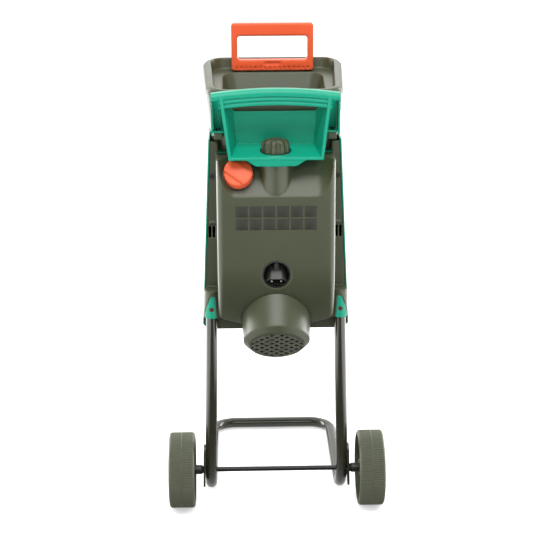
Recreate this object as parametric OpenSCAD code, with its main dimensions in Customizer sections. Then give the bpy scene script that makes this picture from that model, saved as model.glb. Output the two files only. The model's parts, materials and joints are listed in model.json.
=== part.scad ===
// Garden shredder: a knife disc driven by an inclined motor, under a feed hopper, on a wheeled tube stand.
// Millimetres, +Z up, the wheel and motor side faces -Y.
// Modules work from the axle line as Y zero; placed() then centres the whole machine on the floor.

/* [Stand] */
// Outside diameter of the bent stand tube
tube_d = 24; // [20:0.5:26]
// Wall of the stand tube
tube_wall = 1.5; // [1:0.1:2.5]
// Half spacing of the legs at their tops
leg_top_x = 130.5; // [130:0.5:133]
// Half spacing of the legs and floor runs at the floor
leg_foot_x = 140; // [136:0.5:150]
// Height of the leg tops inside their sockets
leg_top_z = 472; // [462:1:480]
// Bend radius between a leg and its floor run
foot_bend_r = 130; // [110:1:150]
// Bend radius of the two far corners
corner_bend_r = 52; // [40:1:70]
// Distance from the axle to the far cross tube
stand_depth = 434; // [400:1:470]

/* [Wheels] */
// Wheel diameter
wheel_d = 160; // [150:1:175]
// Wheel width
wheel_w = 54; // [44:1:60]
// Distance between the wheel middles
wheel_spacing = 399; // [395:1:430]
// Diameter of the axle rod
axle_d = 10; // [8:0.5:12]
// Diameter of the wheel hub
hub_d = 36; // [30:1:44]

/* [Housing] */
// Wall of the moulded shells
shell_wall = 3; // [2.5:0.1:3.5]
// Height of the bottom edge
housing_bottom_z = 393; // [388:1:396]
// Height of the top edge of the side panels
housing_top_z = 790; // [786:1:798]
// Half width of the front shell at the bottom edge
shell_foot_x = 151; // [149:0.5:156]
// Half width of the front shell at the top edge
shell_top_x = 133; // [132:0.5:138]
// Front face of the front shell at the bottom, from the axle
shell_foot_y = 190; // [186:1:200]
// Front face of the front shell at the top, from the axle
shell_top_y = 208; // [206:1:216]
// Corner radius of the front shell
shell_corner_r = 42; // [30:1:50]
// Half width of the raised rear panel
panel_x = 117; // [116:0.5:118]
// How far the rear panel stands behind the axle
panel_back = 80; // [78:0.5:84]
// Corner radius along the rear panel
panel_edge_r = 11; // [7:0.5:14]
// Radius of the belly curve below the rear panel
belly_r = 200; // [192:1:210]
// Height at which the belly curve starts
belly_top_z = 550; // [546:1:556]
// Height of the crease between panel and shoulder
crease_z = 690; // [684:1:694]
// Slope of the shoulder from the floor
shoulder_slope = 58; // [55:0.5:61]
// Height of the lower deck that carries the hopper
deck_z = 764; // [762:0.5:766]

/* [Motor and cutter] */
// Slope of the motor axis from the floor
motor_slope = 46; // [44:0.5:48]
// Height of the middle of the motor cover's end
motor_end_z = 381; // [378:0.5:384]
// How far the middle of the motor cover's end stands behind the axle
motor_end_back = 76; // [73:0.5:79]
// Radius of the motor cover at its end
motor_end_r = 66.5; // [64:0.5:68]
// Radius of the motor cover where it enters the panel
motor_root_r = 72; // [70:0.5:74]
// Diameter of the vent grille in the motor cover's end
grille_d = 108; // [100:1:112]
// Diameter of the cutter disc
disc_d = 186; // [178:1:188]
// Thickness of the cutter disc
disc_t = 8; // [6:0.5:10]
// Diameter of the motor shaft
shaft_d = 15; // [12:0.5:17]

/* [Hopper] */
// Half width of the hopper rim at its far side
rim_far_x = 146; // [142:0.5:150]
// Half width of the hopper rim at its near side
rim_near_x = 138; // [136:0.5:140]
// Far edge of the rim, from the axle
rim_far_y = 215; // [212:0.5:225]
// Height of the rim at its far side
rim_far_z = 926; // [920:1:932]
// Height of the rim at its near side
rim_near_z = 890; // [886:0.5:893]
// Depth of the upper tier below the rim
tier_depth = 21.5; // [19:0.5:26]
// Half width of the throat at the ledge
throat_top_x = 104; // [98:0.5:107]
// Half width of the throat at the deck
throat_foot_x = 66; // [60:0.5:70]

/* [Handle] */
// Height of the top of the grip in the middle
grip_top_z = 900; // [897:0.5:904]
// Rise of the grip arch in the middle
grip_rise = 9; // [6:0.5:12]
// Depth of the grip from front to back
grip_depth = 30; // [26:0.5:32]
// Height of the grip section
grip_height = 31; // [28:0.5:33]
// Half width of the tray mouth at the grip
tray_top_x = 106; // [102:0.5:108]
// Half width of the tray mouth at the floor
tray_foot_x = 89; // [86:0.5:91]

/* [Controls] */
// Diameter of the switch knob
switch_d = 59; // [54:0.5:62]
// Height of the switch knob above its bezel
switch_h = 20; // [16:0.5:24]
// Distance of the switch knob from the middle plane
switch_x = 74; // [72:0.5:76]
// Diameter of the lock knob at its foot
lock_d = 56; // [50:0.5:60]
// Height of the lock knob
lock_h = 27; // [25:0.5:30]
// Diameter of the lock bolt
lock_bolt_d = 8; // [6:0.5:9]
// Diameter of the lock boss on the shoulder
lock_boss_d = 66; // [62:0.5:68]
// Diameter of the round recess that holds the mains inlet
inlet_d = 58; // [56:0.5:60]

/* [Plunger] */
// Width of the plunger handle
plunger_w = 171; // [160:1:176]
// Height of the plunger handle
plunger_h = 97.5; // [92:0.5:106]
// Width of the handle posts
post_w = 12.5; // [11:0.5:16]
// Thickness of the handle's top bar
top_bar_h = 26; // [22:0.5:30]
// Depth of the handle from front to back
plunger_depth = 20; // [17:0.5:22]

/* [Fits] */
// Gap between pieces that are fixed together
seat_gap = 0.15; // [0.1:0.05:0.2]
// Gap around pieces that move
move_gap = 0.4; // [0.3:0.05:0.6]
// Radial gap of a shaft that runs in a bore
running_gap = 0.06; // [0.03:0.01:0.09]

/* [Hidden] */
$fn = 64;

tiny = 0.01;
// Longer than any piece, for cuts that go right through
through = 500;
tube_r = tube_d / 2;
axle_z = wheel_d / 2;
axle_r = axle_d / 2;
panel_y = -panel_back;
flange_y = 4;
motor_end_y = -motor_end_back;

// The axle crosses the tube in the middle of its foot bend.
bend_drop = tube_r + foot_bend_r - axle_z;
leg_y = sqrt(foot_bend_r * foot_bend_r - bend_drop * bend_drop) - foot_bend_r;
leg_splay = atan((leg_foot_x - leg_top_x) / (leg_top_z - tube_r));

function leg_x(z) = leg_top_x + (leg_top_z - z) * tan(leg_splay);
function shell_x(z) = shell_foot_x + (z - housing_bottom_z)
    * (shell_top_x - shell_foot_x) / (housing_top_z - housing_bottom_z);
function shell_y(z) = shell_foot_y + (z - housing_bottom_z)
    * (shell_top_y - shell_foot_y) / (housing_top_z - housing_bottom_z);
function motor_r(s) = motor_end_r + s * (motor_root_r - motor_end_r) / motor_root_s;

// Distances along the motor axis, counted from the end of the motor cover
motor_root_s = 94.5;
cover_top_s = 96.5;
bracket_s = 34.5;
bracket_t = 8;
frame_top_s = 184.5;
chamber_floor_t = 5;
chamber_wall = 4;
disc_s = 208.5;
chamber_top_s = 230.5;
chamber_r = disc_d / 2 + 6;
shaft_r = shaft_d / 2;
bearing_r = shaft_r + 8;
frame_r = 57;
frame_wall = 4;
stator_bore_r = 31;
armature_r = 29;

// Overall reach in Y, which sets where the middle of the machine is
cover_bevel = 12.4;
bevel_back = motor_r(cover_bevel) * sin(motor_slope) - cover_bevel * cos(motor_slope);
reach_back = motor_end_back + max(bevel_back, grille_d / 2 * sin(motor_slope));
reach_front = stand_depth + tube_r;
middle_y = (reach_front - reach_back) / 2;

module placed() translate([0, -middle_y, 0]) children();

// Small helpers

module both_sides() {
    children();
    mirror([1, 0, 0]) children();
}

// A cylinder along +Y that starts at y
module rod_y(x, y, z, r, h) translate([x, y, z]) rotate([-90, 0, 0]) cylinder(r = r, h = h);

// A cylinder along +X that starts at x
module rod_x(x, y, z, r, h) translate([x, y, z]) rotate([0, 90, 0]) cylinder(r = r, h = h);

// A flat outline given in X and Z, made thick along +Y from y
module slab_y(y, t) translate([0, y + t, 0]) rotate([90, 0, 0]) linear_extrude(t) children();

// A box from low corner to high corner
module box(a, b) translate(a) cube(b - a);

// A rectangle centred on X, with round corners
module round_rect(half_x, y0, y1, r) {
    translate([-half_x + r, y0]) square([2 * (half_x - r), y1 - y0]);
    translate([-half_x, y0 + r]) square([2 * half_x, y1 - y0 - 2 * r]);
    for (sx = [-1, 1], y = [y0 + r, y1 - r]) translate([sx * (half_x - r), y]) circle(r);
}

// A slot with round ends, centred, long along X
module stadium(length, width) {
    square([length - width, width], center = true);
    for (sx = [-1, 1]) translate([sx * (length - width) / 2, 0]) circle(width / 2);
}

// Local Z runs up the motor axis from the end of the cover; local -Y is the upper side
module on_motor_axis(s = 0)
    translate([0, motor_end_y, motor_end_z]) rotate([motor_slope - 90, 0, 0]) translate([0, 0, s]) children();

// Local Y runs up the shoulder from the crease; local Z leaves its face
module on_shoulder(x, along) translate([0, panel_y, crease_z]) rotate([shoulder_slope, 0, 0])
    translate([x, along, 0]) children();

// Local Z runs up the right leg from the leg top
module on_leg() translate([leg_top_x, leg_y, leg_top_z]) rotate([0, -leg_splay, 0]) children();

// Stand

function unit(v) = v / norm(v);
function bend_start(p, u, v, r) = p - u * r * tan(acos(u * v) / 2);
function bend_end(p, u, v, r) = p + v * r * tan(acos(u * v) / 2);

tube_lap = 0.5;
tube_step = 0.02;

// One straight length of tube or bore, a hair thinner than the bends and lapped into them
module straight(a, b, r) {
    d = unit(b - a);
    translate(a - d * tube_lap) rotate([0, acos(d[2]), atan2(d[1], d[0])])
        cylinder(r = r - tube_step, h = norm(b - a) + 2 * tube_lap);
}

// One round bend of tube or bore, from direction u to direction v about the corner p
module bend(p, u, v, bend_r, r) {
    start = bend_start(p, u, v, bend_r);
    inward = unit(v - u * (u * v));
    middle = start + inward * bend_r;
    out = -inward;
    up = cross(out, u);
    multmatrix([
        [out[0], u[0], up[0], middle[0]],
        [out[1], u[1], up[1], middle[1]],
        [out[2], u[2], up[2], middle[2]],
        [0, 0, 0, 1]])
        rotate_extrude(angle = acos(u * v)) translate([bend_r, 0]) circle(r);
}

leg_top = [leg_top_x, leg_y, leg_top_z];
foot_corner = [leg_foot_x, leg_y, tube_r];
far_corner = [leg_foot_x, stand_depth, tube_r];
leg_dir = unit(foot_corner - leg_top);
run_dir = [0, 1, 0];
cross_dir = [-1, 0, 0];

// One side of the bent tube up to the cross tube, at the given radius
module side_tube(r) {
    straight(leg_top, bend_start(foot_corner, leg_dir, run_dir, foot_bend_r), r);
    bend(foot_corner, leg_dir, run_dir, foot_bend_r, r);
    straight(bend_end(foot_corner, leg_dir, run_dir, foot_bend_r),
        bend_start(far_corner, run_dir, cross_dir, corner_bend_r), r);
    bend(far_corner, run_dir, cross_dir, corner_bend_r, r);
}

// The whole bent tube, or its bore, at the given radius
module bent_tube(r) {
    cross_end = bend_end(far_corner, run_dir, cross_dir, corner_bend_r);
    both_sides() side_tube(r);
    straight(cross_end, [-cross_end[0], cross_end[1], cross_end[2]], r);
}

screw_drop = 27;
screw_r = 2.5;

module stand_frame() color("#151515") difference() {
    bent_tube(tube_r);
    bent_tube(tube_r - tube_wall);
    rod_x(-leg_foot_x - tube_d, 0, axle_z, axle_r + seat_gap, 2 * leg_foot_x + 2 * tube_d);
    both_sides() on_leg() rod_y(0, -tube_d, -screw_drop, screw_r + seat_gap, 2 * tube_d);
}

plate_t = 4;
plate_len = 96;
plate_w = 30;
plate_up = 8;
plate_x = leg_x(axle_z) + tube_r;
hub_gap = 0.6;
hub_recess = 12;
hub_inner_x = wheel_spacing / 2 - wheel_w / 2 + 4;
hub_outer_x = wheel_spacing / 2 + wheel_w / 2 - hub_recess;
washer_t = 2;
washer_r = axle_r + 7;
cap_depth = 9;
axle_end_x = hub_outer_x + hub_gap + washer_t + cap_depth - 2;

module axle() color("#8d9092") rod_x(-axle_end_x, 0, axle_z, axle_r, 2 * axle_end_x);

// Welded plates that lie along the outside of the legs and stiffen the axle holes
module axle_plates() color("#151515") both_sides() difference() {
    on_leg() translate([tube_r + seat_gap, -leg_y, (axle_z - leg_top_z) / cos(leg_splay) + plate_up])
        rotate([0, 0, 90]) rotate([90, 0, 0]) linear_extrude(plate_t) rotate(90) stadium(plate_len, plate_w);
    rod_x(plate_x - tube_d, 0, axle_z, axle_r + seat_gap, 2 * tube_d);
}

spacer_neck = 5;
spacer_r = axle_r + 5;
spacer_x = plate_x + plate_t + 2 * seat_gap + spacer_r * tan(leg_splay);

module axle_spacers() color("#1d1e1e") both_sides() difference() {
    union() {
        rod_x(spacer_x + spacer_neck, 0, axle_z, spacer_r, hub_inner_x - hub_gap - spacer_x - spacer_neck);
        translate([spacer_x, 0, axle_z]) rotate([0, 90, 0])
            cylinder(r1 = spacer_r - 2.5, r2 = spacer_r, h = spacer_neck);
    }
    rod_x(plate_x, 0, axle_z, axle_r + seat_gap, wheel_w);
}

// Wheels

tread_edge_r = 6;
rim_t = 9;
web_t = 12;
spoke_count = 6;
spoke_t = 6;

module wheel_section() {
    bore = axle_r + running_gap;
    translate([wheel_d / 2 - rim_t, -wheel_w / 2 + tread_edge_r]) square([rim_t, wheel_w - 2 * tread_edge_r]);
    translate([wheel_d / 2 - rim_t, -wheel_w / 2]) square([rim_t - tread_edge_r, wheel_w]);
    for (s = [-1, 1])
        translate([wheel_d / 2 - tread_edge_r, s * (wheel_w / 2 - tread_edge_r)]) circle(tread_edge_r);
    translate([bore, -web_t / 2]) square([wheel_d / 2 - rim_t / 2 - bore, web_t]);
    translate([bore, hub_inner_x - wheel_spacing / 2]) square([hub_d / 2 - bore, hub_outer_x - hub_inner_x]);
}

module wheel() color("#4a4c48") translate([wheel_spacing / 2, 0, axle_z]) rotate([0, 90, 0]) {
    rotate_extrude() wheel_section();
    for (i = [0 : spoke_count - 1]) rotate(i * 360 / spoke_count)
        translate([hub_d / 2 - 1, -spoke_t / 2, -wheel_w / 2 + 9])
            cube([wheel_d / 2 - rim_t - hub_d / 2 + 2, spoke_t, wheel_w - 18]);
}

module right_wheel() wheel();
module left_wheel() mirror([1, 0, 0]) wheel();

module axle_washers() color("#a8abad") both_sides() difference() {
    rod_x(hub_outer_x + hub_gap, 0, axle_z, washer_r, washer_t - seat_gap);
    rod_x(hub_outer_x, 0, axle_z, axle_r + seat_gap, wheel_w);
}

module hub_caps() color("#1d1e1e") both_sides() difference() {
    rod_x(hub_outer_x + hub_gap + washer_t, 0, axle_z, washer_r + 2, cap_depth);
    rod_x(hub_outer_x, 0, axle_z, axle_r + seat_gap, axle_end_x - hub_outer_x + seat_gap);
}

// Housing

bath_deep = panel_back + flange_y + 6;
belly_sweep = 60;
belly_edge_r = 260;
belly_edge_z = housing_bottom_z + 11 + belly_edge_r;
belly_side_z = belly_edge_z - sqrt(belly_edge_r * belly_edge_r - panel_x * panel_x);

// Cross section of the raised rear panel: X across, Y inwards from its face
module bath_section(inset) {
    w = panel_x - inset;
    r = max(panel_edge_r - inset, 2);
    translate([-w, inset + r]) square([2 * w, bath_deep - r]);
    translate([-w + r, inset]) square([2 * (w - r), bath_deep]);
    for (s = [-1, 1]) translate([s * (w - r), inset + r]) circle(r);
}

// Outline of the raised panel from behind, with a bowed lower edge
module bath_outline(inset) {
    translate([0, belly_edge_z]) circle(belly_edge_r - inset, $fn = 200);
    translate([-belly_edge_r, belly_edge_z]) square(2 * belly_edge_r);
}

// The raised panel's solid, cut off at the flange: a straight length and a belly
module bath(inset) intersection() {
    union() {
        translate([0, panel_y, belly_top_z]) linear_extrude(panel_top_z - inset - belly_top_z)
            bath_section(inset);
        multmatrix([[0, 0, 1, 0], [-1, 0, 0, panel_y + belly_r], [0, -1, 0, belly_top_z], [0, 0, 0, 1]])
            rotate_extrude(angle = belly_sweep) translate([belly_r, 0]) rotate(90) bath_section(inset);
    }
    slab_y(panel_y - 20, through) bath_outline(inset);
    box([-200, panel_y - 50, 300], [200, flange_y + (inset > 0 ? 1 : 0), 900]);
}

scoop_side = 5;
scoop_corner_r = 34;
scoop_up = 90;

// The hollow above the shoulder, which leaves a low ridge along each side and a round seat for the switch
module scoop(grow) {
    on_shoulder(0, -70) translate([0, 0, -grow]) rotate([-90, 0, 0]) linear_extrude(260) {
        w = panel_x - scoop_side + grow;
        r = scoop_corner_r;
        translate([-w, -scoop_up]) square([2 * w, scoop_up - r]);
        translate([-w + r, -scoop_up]) square([2 * (w - r), scoop_up]);
        for (s = [-1, 1]) translate([s * (w - r), -r]) circle(r);
    }
    on_switch(-grow) cylinder(r = bezel_r + seat_gap + grow, h = scoop_up);
}

panel_top_z = deck_z - 2;
lock_y = panel_y + lock_boss_d / 2 + 1;
boss_top_z = panel_top_z + 1;
insert_r = 8;
insert_h = 22;
spindle_r = 6;
switch_along = 46;
inlet_z = 531;

// Cone of the motor cover's outside, grown by a gap
module motor_cone(gap) on_motor_axis(-5)
    cylinder(r1 = motor_r(-5) + gap, r2 = motor_r(cover_top_s + 20) + gap, h = cover_top_s + 25);

vent_z = 600;
vent_h = 24;
vent_w = 5;

flange_top_z = housing_top_z - 5;
flange_inset = shell_wall + seat_gap;
vent_pitch = 8;
ledge_h = 5;
foot_cut = 12;

// Outline of the side panels, inside the edge of the front shell
module flange_outline(grow) {
    foot_x = shell_x(housing_bottom_z) - flange_inset + grow;
    top_x = shell_x(flange_top_z) - flange_inset + grow;
    polygon([
        [foot_cut - foot_x, housing_bottom_z - grow], [foot_x - foot_cut, housing_bottom_z - grow],
        [foot_x, housing_bottom_z + foot_cut], [top_x, flange_top_z + grow],
        [-top_x, flange_top_z + grow], [-foot_x, housing_bottom_z + foot_cut]]);
}

// Side panels around the raised panel, with a ledge and two vent slots each side
module flange() {
    difference() {
        slab_y(flange_y - tiny, shell_wall) flange_outline(0);
        box([-panel_x + shell_wall, flange_y - 10, belly_side_z + 26],
            [panel_x - shell_wall, flange_y + 20, housing_top_z]);
        both_sides() for (i = [0, 1]) translate([vent_pitch * i, 0, 0])
            box([panel_x + vent_w, flange_y - 10, vent_z - vent_h / 2],
                [panel_x + 2 * vent_w, flange_y + 20, vent_z + vent_h / 2]);
    }
    both_sides() box([panel_x - 1, flange_y - 3, vent_z + vent_h / 2 + ledge_h],
        [shell_x(vent_z) - flange_inset - 4, flange_y + 1, vent_z + vent_h / 2 + 2 * ledge_h]);
}

cradle_r = tube_r + 4.5;
cradle_h = 50;
cradle_foot = 4 - cradle_h;
cuff_x = panel_x + 5;
cuff_w = 23;
cuff_h = 46;
cuff_lean = 3;
cuff_turn = 62;
cuff_z = leg_top_z + cradle_foot;

// Outline of a cuff from behind: nearly upright along the panel, with a curved outer edge up to a blunt tip
module cuff_outline(grow) polygon(concat(
    [[cuff_x - grow, cuff_z - 2 * grow], [cuff_x + cuff_lean - grow, cuff_z + cuff_h + grow]],
    [for (t = [1 : -0.125 : 0]) [cuff_x + cuff_w * cos(cuff_turn * t) + grow, cuff_z + cuff_h * t + grow]],
    [[cuff_x + cuff_w + grow, cuff_z - 2 * grow]]));

// The round sleeve about the right leg
module leg_sleeve() on_leg() translate([0, 0, cradle_foot]) cylinder(r = cradle_r, h = cradle_h + 8);

// Leg sockets, which join the side panels and leave room for the cuffs
module cradles() both_sides() difference() {
    intersection() {
        union() {
            leg_sleeve();
            on_leg() translate([-cradle_r + 5, 0, cradle_foot])
                cube([2 * cradle_r - 10, flange_y - leg_y + 1, cradle_h + 8]);
        }
        box([panel_x - 1, leg_y - 2 * cradle_r, 0], [2 * panel_x, flange_y + 1, through]);
    }
    slab_y(leg_y - 2 * cradle_r, 2 * cradle_r) cuff_outline(seat_gap);
}

module leg_bores() both_sides() on_leg() {
    translate([0, 0, -200]) cylinder(r = tube_r + seat_gap, h = 200 + tube_lap + seat_gap);
    rod_y(0, -60, -screw_drop, screw_r + seat_gap, 120);
}

module rear_cover() color("#4b4d44") difference() {
    union() {
        difference() {
            difference() {
                bath(0);
                scoop(0);
            }
            difference() {
                bath(shell_wall);
                scoop(shell_wall);
            }
        }
        flange();
        cradles();
        translate([0, lock_y, crease_z + 3]) cylinder(d = lock_boss_d, h = boss_top_z - crease_z - 3);
    }
    translate([0, lock_y, 0]) {
        cylinder(d = lock_bolt_d + 2 * move_gap + 1, h = 900);
        translate([0, 0, boss_top_z - insert_h]) cylinder(r = insert_r + seat_gap, h = 100);
    }
    on_switch(-20) cylinder(r = spindle_r + move_gap, h = 60);
    rod_y(0, panel_y - 20, inlet_z, inlet_d / 2 + seat_gap, 80);
    motor_cone(seat_gap);
    leg_bores();
    both_sides() for (z = shell_screw_z) rod_y(shell_x(z) - shell_screw_in, -20, z, screw_r + seat_gap, 60);
}

feed_y0 = 18;
feed_y1 = 128;
chute_x = 62;
chute_t = 3;

// A thin plan outline of the front shell at height z
module shell_plan(z, inset, h) {
    x = shell_x(z) - inset;
    y = shell_y(z) - inset;
    r = shell_corner_r - inset;
    translate([0, 0, z]) linear_extrude(h) {
        translate([-x, flange_y - 3]) square([2 * x, y - r - flange_y + 3]);
        for (s = [-1, 1]) translate([s * (x - r), y - r]) circle(r);
    }
}

module shell_body(inset, z0, z1) hull() {
    shell_plan(z0, inset + foot_cut, tiny);
    shell_plan(z0 + foot_cut, inset, tiny);
    shell_plan(z1 - tiny, inset, tiny);
}

peg_x = 92;
peg_y = 178;
peg_r = 5;
peg_h = 14;

// Screw bosses along the inside of the front shell
module shell_bosses() both_sides() for (z = shell_screw_z)
    rod_y(shell_x(z) - shell_screw_in, flange_y + shell_wall + seat_gap, z, boss_r, boss_len);

module front_shell() color("#1f9a82") difference() {
    shell_body(0, housing_bottom_z, housing_top_z);
    difference() {
        shell_body(shell_wall, housing_bottom_z + shell_wall, housing_top_z + 1);
        box([-200, -50, deck_z - shell_wall], [200, 300, deck_z]);
        shell_bosses();
    }
    slab_y(flange_y - 10, 10 + flange_inset) flange_outline(seat_gap);
    box([-throat_foot_x, feed_y0, deck_z - 20], [throat_foot_x, feed_y1, deck_z + 20]);
    box([-panel_x - seat_gap, -50, deck_z - 20], [panel_x + seat_gap, flange_y + flange_inset, 900]);
    motor_cone(1);
    chute_space(chute_t + seat_gap);
    both_sides() translate([peg_x, peg_y, deck_z - 20]) cylinder(r = peg_r + move_gap, h = 40);
    both_sides() for (z = shell_screw_z) rod_y(shell_x(z) - shell_screw_in, -20, z, screw_r + seat_gap, 60);
}

// The coloured part of one leg socket's sleeve, held by the leg screw
module cuff() color("#1f9a82") difference() {
    intersection() {
        leg_sleeve();
        slab_y(leg_y - 2 * cradle_r, 2 * cradle_r - seat_gap) cuff_outline(0);
    }
    leg_bores();
    on_leg() rod_y(0, -cradle_r - 1, -screw_drop, screw_head_r + seat_gap, 3.5);
}

module right_cuff() cuff();
module left_cuff() mirror([1, 0, 0]) cuff();

screw_head_r = 4.5;
screw_head_h = 2.5;

// A pan head screw whose head starts at the origin and whose thread runs along +Y
module screw_y(length) {
    rod_y(0, 0, 0, screw_head_r, screw_head_h);
    rod_y(0, screw_head_h - tiny, 0, screw_r, length);
}

module leg_screws() color("#b4402e") both_sides() on_leg()
    translate([0, -cradle_r - 1 + 3.5 - screw_head_h - seat_gap, -screw_drop]) screw_y(2 * cradle_r - 4);

shell_screw_z = [housing_bottom_z + 18, crease_z + 25];
shell_screw_in = 10;
boss_r = 8;
boss_len = 22;

module shell_screws() color("#1d1e1e") both_sides() for (z = shell_screw_z)
    translate([shell_x(z) - shell_screw_in, flange_y - screw_head_h - seat_gap, z]) screw_y(14);

// Motor

cover_wall = 3;
grille_t = 3;

// A tapered cup with a broad bevel around the grille
module motor_cover() color("#4b4d44") on_motor_axis() rotate_extrude() polygon([
    [grille_d / 2, 0], [motor_r(cover_bevel), cover_bevel], [motor_r(cover_top_s), cover_top_s],
    [motor_r(cover_top_s) - cover_wall, cover_top_s],
    [motor_r(cover_bevel) - cover_wall, cover_bevel + 1], [grille_d / 2, grille_t + 2]]);

grille_hole_w = 14.5;
grille_hole_h = 12;
grille_pitch = 20;
grille_row = 9.2;
grille_in = 0.5;
grille_edge = 2;

module diamond(w, h) polygon([[-w / 2, 0], [0, -h / 2], [w / 2, 0], [0, h / 2]]);

// A round plate with staggered diamond holes
module motor_grille() color("#4b4d44") on_motor_axis(grille_in) difference() {
    cylinder(d = grille_d - 2 * seat_gap, h = grille_t);
    intersection() {
        translate([0, 0, -1]) cylinder(d = grille_d - 2 * grille_edge, h = grille_t + 2);
        for (row = [-5 : 5], col = [-3 : 3]) {
            x = (col + (row % 2 == 0 ? 0 : 0.5)) * grille_pitch;
            if (norm([x, row * grille_row]) < grille_d / 2 - grille_edge) translate([x, row * grille_row, 0])
                linear_extrude(4 * grille_t, center = true) diamond(grille_hole_w, grille_hole_h);
        }
    }
}

module motor_frame() color("#9a9c9e") on_motor_axis(bracket_s + bracket_t) difference() {
    cylinder(r = frame_r, h = frame_top_s - bracket_s - bracket_t - seat_gap);
    translate([0, 0, -1]) cylinder(r = frame_r - frame_wall, h = 400);
    for (i = [0 : 5]) rotate(i * 60 + 30) translate([frame_r - 10, -10, 96]) cube([20, 20, 22]);
}

stator_s = 56.5;
stator_h = 84;

module motor_stator() color("#6d4a2c") on_motor_axis(stator_s) difference() {
    cylinder(r = frame_r - frame_wall - seat_gap, h = stator_h);
    translate([0, 0, -1]) cylinder(r = stator_bore_r, h = 200);
    for (i = [0 : 1]) rotate(i * 180) translate([-60, 26, 10]) cube([120, 12, stator_h - 20]);
}

module end_bracket() color("#9a9c9e") on_motor_axis(bracket_s) difference() {
    cylinder(r = motor_r(bracket_s) - cover_wall - seat_gap, h = bracket_t - seat_gap);
    translate([0, 0, -1]) cylinder(r = bearing_r + seat_gap, h = 20);
    for (i = [0 : 5]) rotate(i * 60) translate([38, 0, -1]) cylinder(r = 9, h = 20);
    motor_screw_places() translate([0, 0, -1]) cylinder(r = screw_r + seat_gap, h = 20);
}

// A plain ball bearing ring around the shaft
module bearing(s) color("#b9bcbe") on_motor_axis(s) difference() {
    cylinder(r = bearing_r, h = bracket_t);
    translate([0, 0, -1]) cylinder(r = shaft_r + running_gap, h = 40);
}

upper_bearing_s = frame_top_s - bracket_t + chamber_floor_t;

module lower_bearing() bearing(bracket_s);
module upper_bearing() bearing(upper_bearing_s);

motor_screw_at = frame_r + screw_r + seat_gap;

module motor_screw_places() for (i = [0 : 3])
    rotate(i * 90 + 45) translate([motor_screw_at, 0, 0]) children();

module motor_screws() color("#b9bcbe") on_motor_axis(bracket_s - screw_head_h - seat_gap)
    motor_screw_places() {
        cylinder(r = screw_head_r, h = screw_head_h);
        cylinder(r = screw_r, h = frame_top_s - bracket_s + screw_head_h);
    }

shaft_end_s = disc_s + disc_t;
shaft_tail = 6;
bolt_r = 4;
bolt_len = 20;

module motor_shaft() color("#c7c9cb") difference() {
    on_motor_axis(bracket_s - shaft_tail) cylinder(r = shaft_r, h = shaft_end_s - bracket_s + shaft_tail);
    on_motor_axis(shaft_end_s - bolt_len - 1) cylinder(r = bolt_r + seat_gap, h = bolt_len + 2);
}

// A ring on the shaft, face to face with it
module on_shaft(s, r, h) on_motor_axis(s) difference() {
    cylinder(r = r, h = h);
    translate([0, 0, -1]) cylinder(r = shaft_r + seat_gap, h = h + 2);
}

module armature() color("#7a5a38") on_shaft(stator_s + 6, armature_r, stator_h - 12);
commutator_r = 17;

module commutator() color("#b57a3c") on_shaft(bracket_s + bracket_t + 3, commutator_r, 14);

fan_blades = 9;
fan_r = 46;
fan_hub_r = 13;
fan_t = 3;
fan_h = 16;
fan_s = frame_top_s - 34;

module cooling_fan() color("#26282a") {
    on_shaft(fan_s, fan_r, fan_t);
    on_shaft(fan_s + fan_t - 1, fan_hub_r, fan_h - fan_t + 1);
    on_motor_axis(fan_s + fan_t - tiny) for (i = [0 : fan_blades - 1]) rotate(i * 360 / fan_blades)
        translate([fan_hub_r - 1, -1, 0]) cube([fan_r - fan_hub_r, 2, fan_h - fan_t]);
}

brush_h = 13;

module brush_holders() color("#8a6a2f") on_motor_axis(bracket_s + bracket_t + seat_gap) for (i = [0, 1])
    rotate(i * 180) translate([commutator_r + move_gap, -6, 0])
        cube([frame_r - frame_wall - commutator_r - 2 * move_gap, 12, brush_h]);

// Cutting chamber

chamber_base_s = frame_top_s;

// The half space above the chamber's lid
module above_lid(gap) on_motor_axis(chamber_top_s - chamber_wall + gap) translate([-300, -300, 0]) cube(600);

module feed_duct(inset, top) box([-throat_foot_x - shell_wall + inset, feed_y0 - shell_wall + inset, 430],
    [throat_foot_x + shell_wall - inset, feed_y1 + shell_wall - inset, top]);

chute_s0 = chamber_base_s + chamber_floor_t;
chute_h = chamber_top_s - chamber_wall - chute_s0;
chute_len = 190;

// The straight passage through which chips leave the chamber, down and away from the wheels
module chute_space(grow) on_motor_axis(chute_s0 - grow) translate([-chute_x - grow, 60, 0])
    cube([2 * (chute_x + grow), 200, chute_h + 2 * grow]);

module cutting_chamber() color("#5a5d60") difference() {
    union() {
        on_motor_axis(chamber_base_s)
            cylinder(r = chamber_r + chamber_wall, h = chamber_top_s - chamber_base_s);
        intersection() {
            feed_duct(0, deck_z - shell_wall - seat_gap);
            above_lid(0);
        }
    }
    on_motor_axis(chamber_base_s + chamber_floor_t)
        cylinder(r = chamber_r, h = chamber_top_s - chamber_base_s - chamber_floor_t - chamber_wall);
    intersection() {
        feed_duct(shell_wall, 900);
        above_lid(-10);
    }
    on_motor_axis(chamber_base_s - 1) cylinder(r = bearing_r + seat_gap, h = 20);
    chute_space(0);
}

module discharge_chute() color("#2b2d2b") difference() {
    on_motor_axis(chute_s0 - chute_t) translate([-chute_x - chute_t, 0, 0])
        cube([2 * (chute_x + chute_t), chute_len, chute_h + 2 * chute_t]);
    chute_space(0);
    on_motor_axis(chamber_base_s - 20) cylinder(r = chamber_r + chamber_wall + seat_gap, h = 100);
}

knife_len = 44;
knife_w = 26;
knife_t = 5;
knife_mid_r = 58;
knife_edge_y = 8;
chip_slot = 12;
knife_screw_reach = 12;

// Screw axes of one knife, starting a millimetre low
module knife_screw_places() for (side = [-1, 1])
    translate([knife_mid_r + side * knife_screw_reach, -knife_edge_y, -1]) children();

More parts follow.
